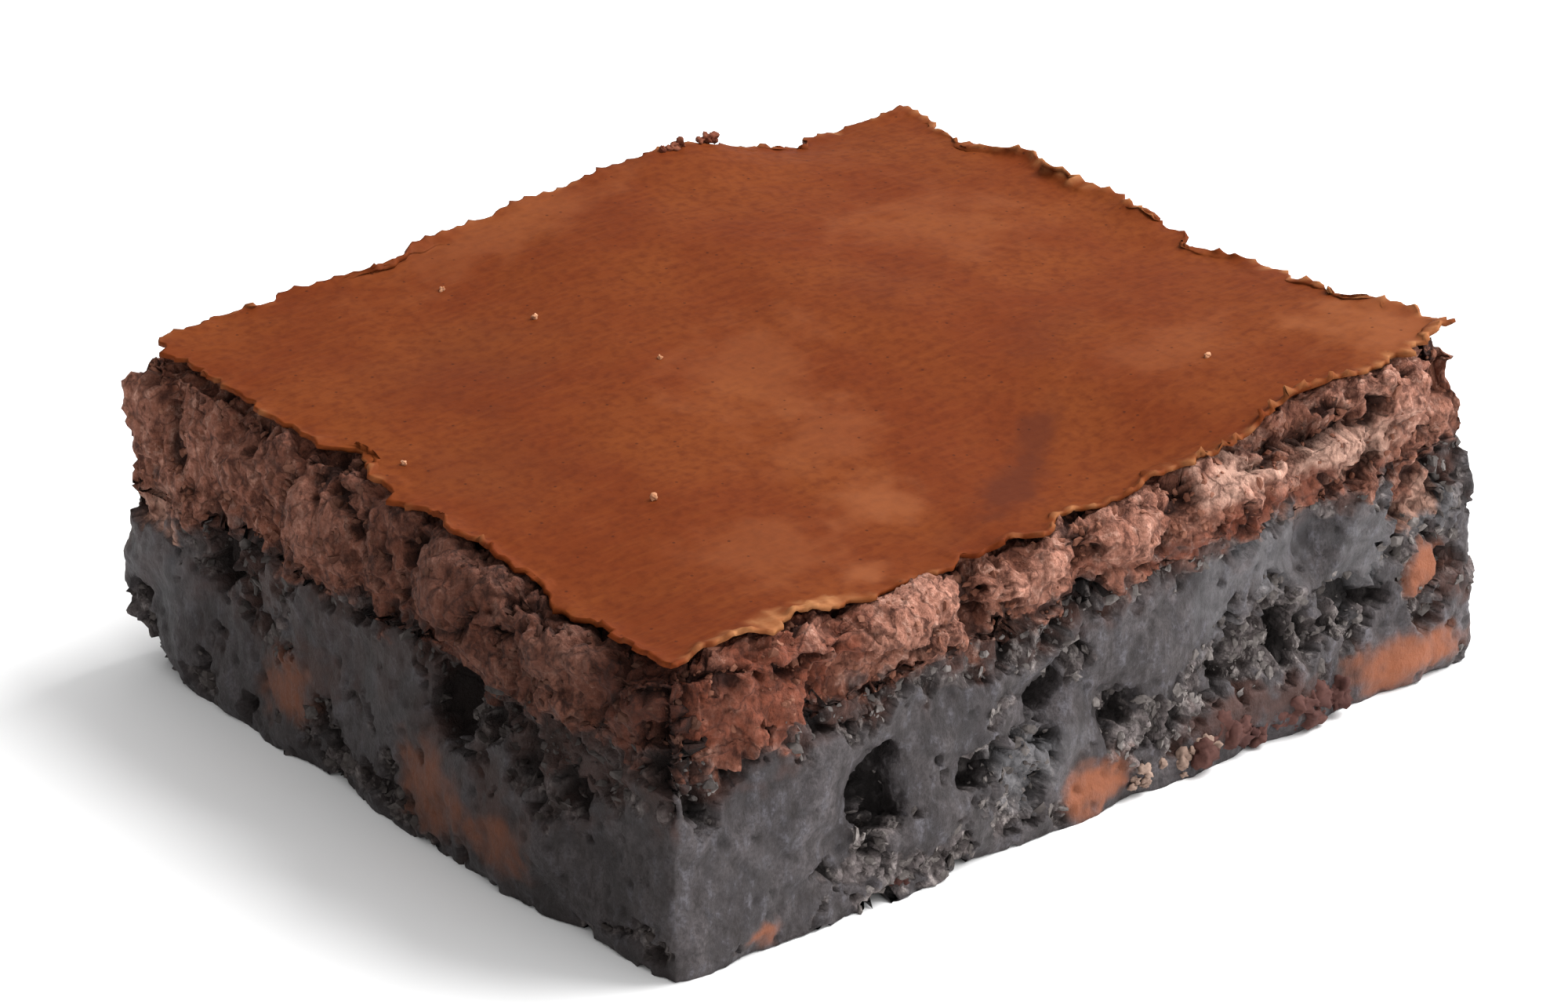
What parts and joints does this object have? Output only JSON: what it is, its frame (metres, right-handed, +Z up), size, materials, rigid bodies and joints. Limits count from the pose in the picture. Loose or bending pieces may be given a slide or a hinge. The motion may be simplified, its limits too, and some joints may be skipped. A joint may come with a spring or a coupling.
{
  "type": "brownie",
  "caption": "Square-cut chocolate brownie: a dense dark fudge base under a paler crumbly cake layer with a thin, ragged baked skin on top; lies on its flat base.",
  "frame": {"origin": "centre of the bounding box in plan, at the level of the flat base that the brownie stands on", "axes": "+Z up through the baked top; +X along the longer cut side; the near cut face looks along -Y"},
  "size_m": [0.0782, 0.0668, 0.029],
  "materials": {
    "fudge": "dense dark chocolate fudge, knife-cut, satin where smeared and matt where torn",
    "baked_top": "matt papery baked skin, red-brown, over a paler pinkish-brown dry crumb"
  },
  "bodies": {
    "root": {"fudge_base": "fudge", "cake_layer": "baked_top"}
  },
  "joints": []
}
